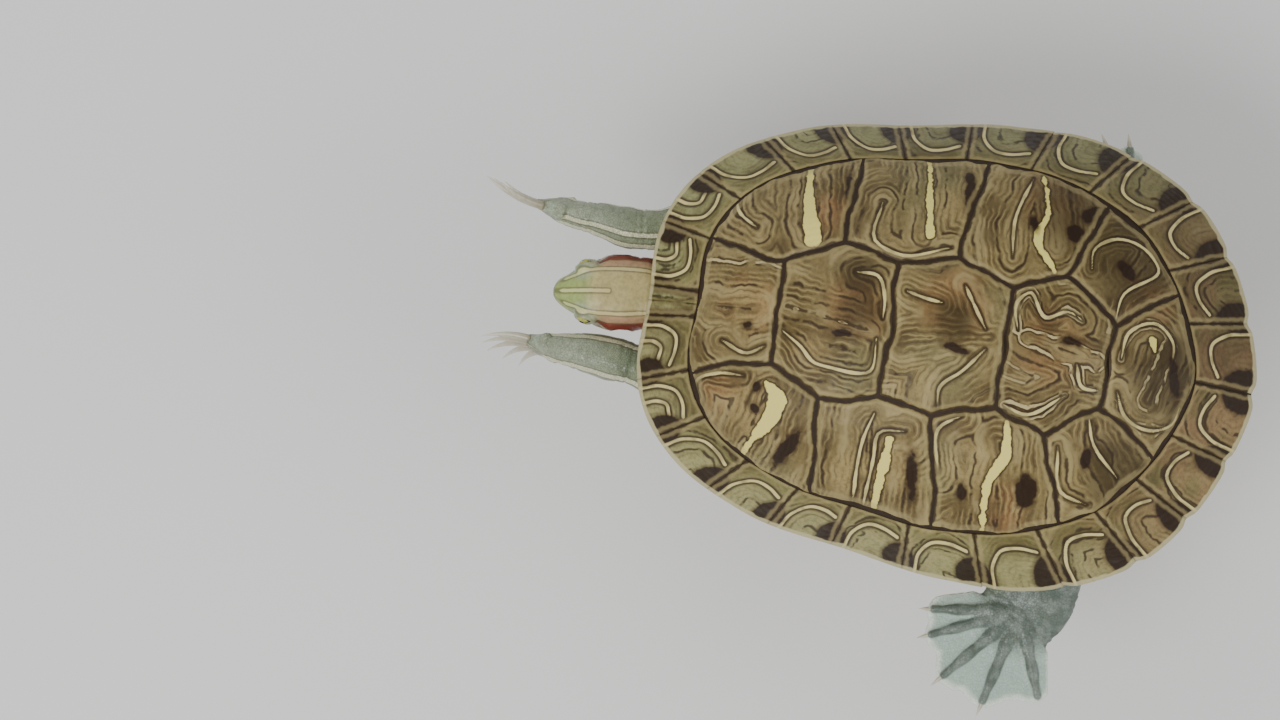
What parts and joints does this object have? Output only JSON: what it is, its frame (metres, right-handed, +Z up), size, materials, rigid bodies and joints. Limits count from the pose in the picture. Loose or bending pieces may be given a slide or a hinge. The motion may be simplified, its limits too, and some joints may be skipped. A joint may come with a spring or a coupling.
{
  "type": "red-eared slider turtle model",
  "caption": "Life-size male red-eared slider in its courting swim, forelegs stretched ahead with long claws, on a small two-rod display stand",
  "frame": {"origin": "centre of the underside of the model's box, on the floor under the stand", "axes": "+Z up; the turtle faces -Y; its left side is at +X"},
  "size_m": [0.178, 0.2338, 0.133],
  "materials": {
    "scutes": "horny carapace, khaki-brown with thin cream lines, yellow bars and dark seams",
    "rim_scutes": "horny rim, olive with cream arcs and dark blotches",
    "plastron": "horny yellow with a dark blotch on each scute",
    "skin": "scaly grey-green with cream stripes",
    "head_skin": "smooth tan and green with cream stripes and a red patch behind each eye",
    "eyes": "wet yellow-green iris with a dark bar",
    "claws": "grey-brown horn, paler at the tips",
    "stand_wood": "dark satin wood",
    "stand_steel": "brushed"
  },
  "bodies": {
    "root": {"costal_left_1": "scutes", "costal_left_2": "scutes", "costal_left_3": "scutes", "costal_left_4": "scutes", "costal_right_1": "scutes", "costal_right_2": "scutes", "costal_right_3": "scutes", "costal_right_4": "scutes", "eye_left": "eyes", "eye_right": "eyes", "forefoot_left": "skin", "forefoot_left_claw_1": "claws", "forefoot_left_claw_2": "claws", "forefoot_left_claw_3": "claws", "forefoot_left_claw_4": "claws", "forefoot_left_claw_5": "claws", "forefoot_right": "skin", "forefoot_right_claw_1": "claws", "forefoot_right_claw_2": "claws", "forefoot_right_claw_3": "claws", "forefoot_right_claw_4": "claws", "forefoot_right_claw_5": "claws", "foreleg_left_lower": "skin", "foreleg_left_upper": "skin", "foreleg_right_lower": "skin", "foreleg_right_upper": "skin", "head": "head_skin", "hindfoot_left": "skin", "hindfoot_left_claw_1": "claws", "hindfoot_left_claw_2": "claws", "hindfoot_left_claw_3": "claws", "hindfoot_left_claw_4": "claws", "hindfoot_right": "skin", "hindfoot_right_claw_1": "claws", "hindfoot_right_claw_2": "claws", "hindfoot_right_claw_3": "claws", "hindfoot_right_claw_4": "claws", "hindleg_left_lower": "skin", "hindleg_left_upper": "skin", "hindleg_right_lower": "skin", "hindleg_right_upper": "skin", "jaw": "head_skin", "marginals_left": "rim_scutes", "marginals_right": "rim_scutes", "neck": "skin", "nuchal": "rim_scutes", "plastron": "plastron", "stand_base": "stand_wood", "stand_rod_front": "stand_steel", "stand_rod_rear": "stand_steel", "tail": "skin", "trunk": "skin", "vertebral_1": "scutes", "vertebral_2": "scutes", "vertebral_3": "scutes", "vertebral_4": "scutes", "vertebral_5": "scutes"}
  },
  "joints": []
}
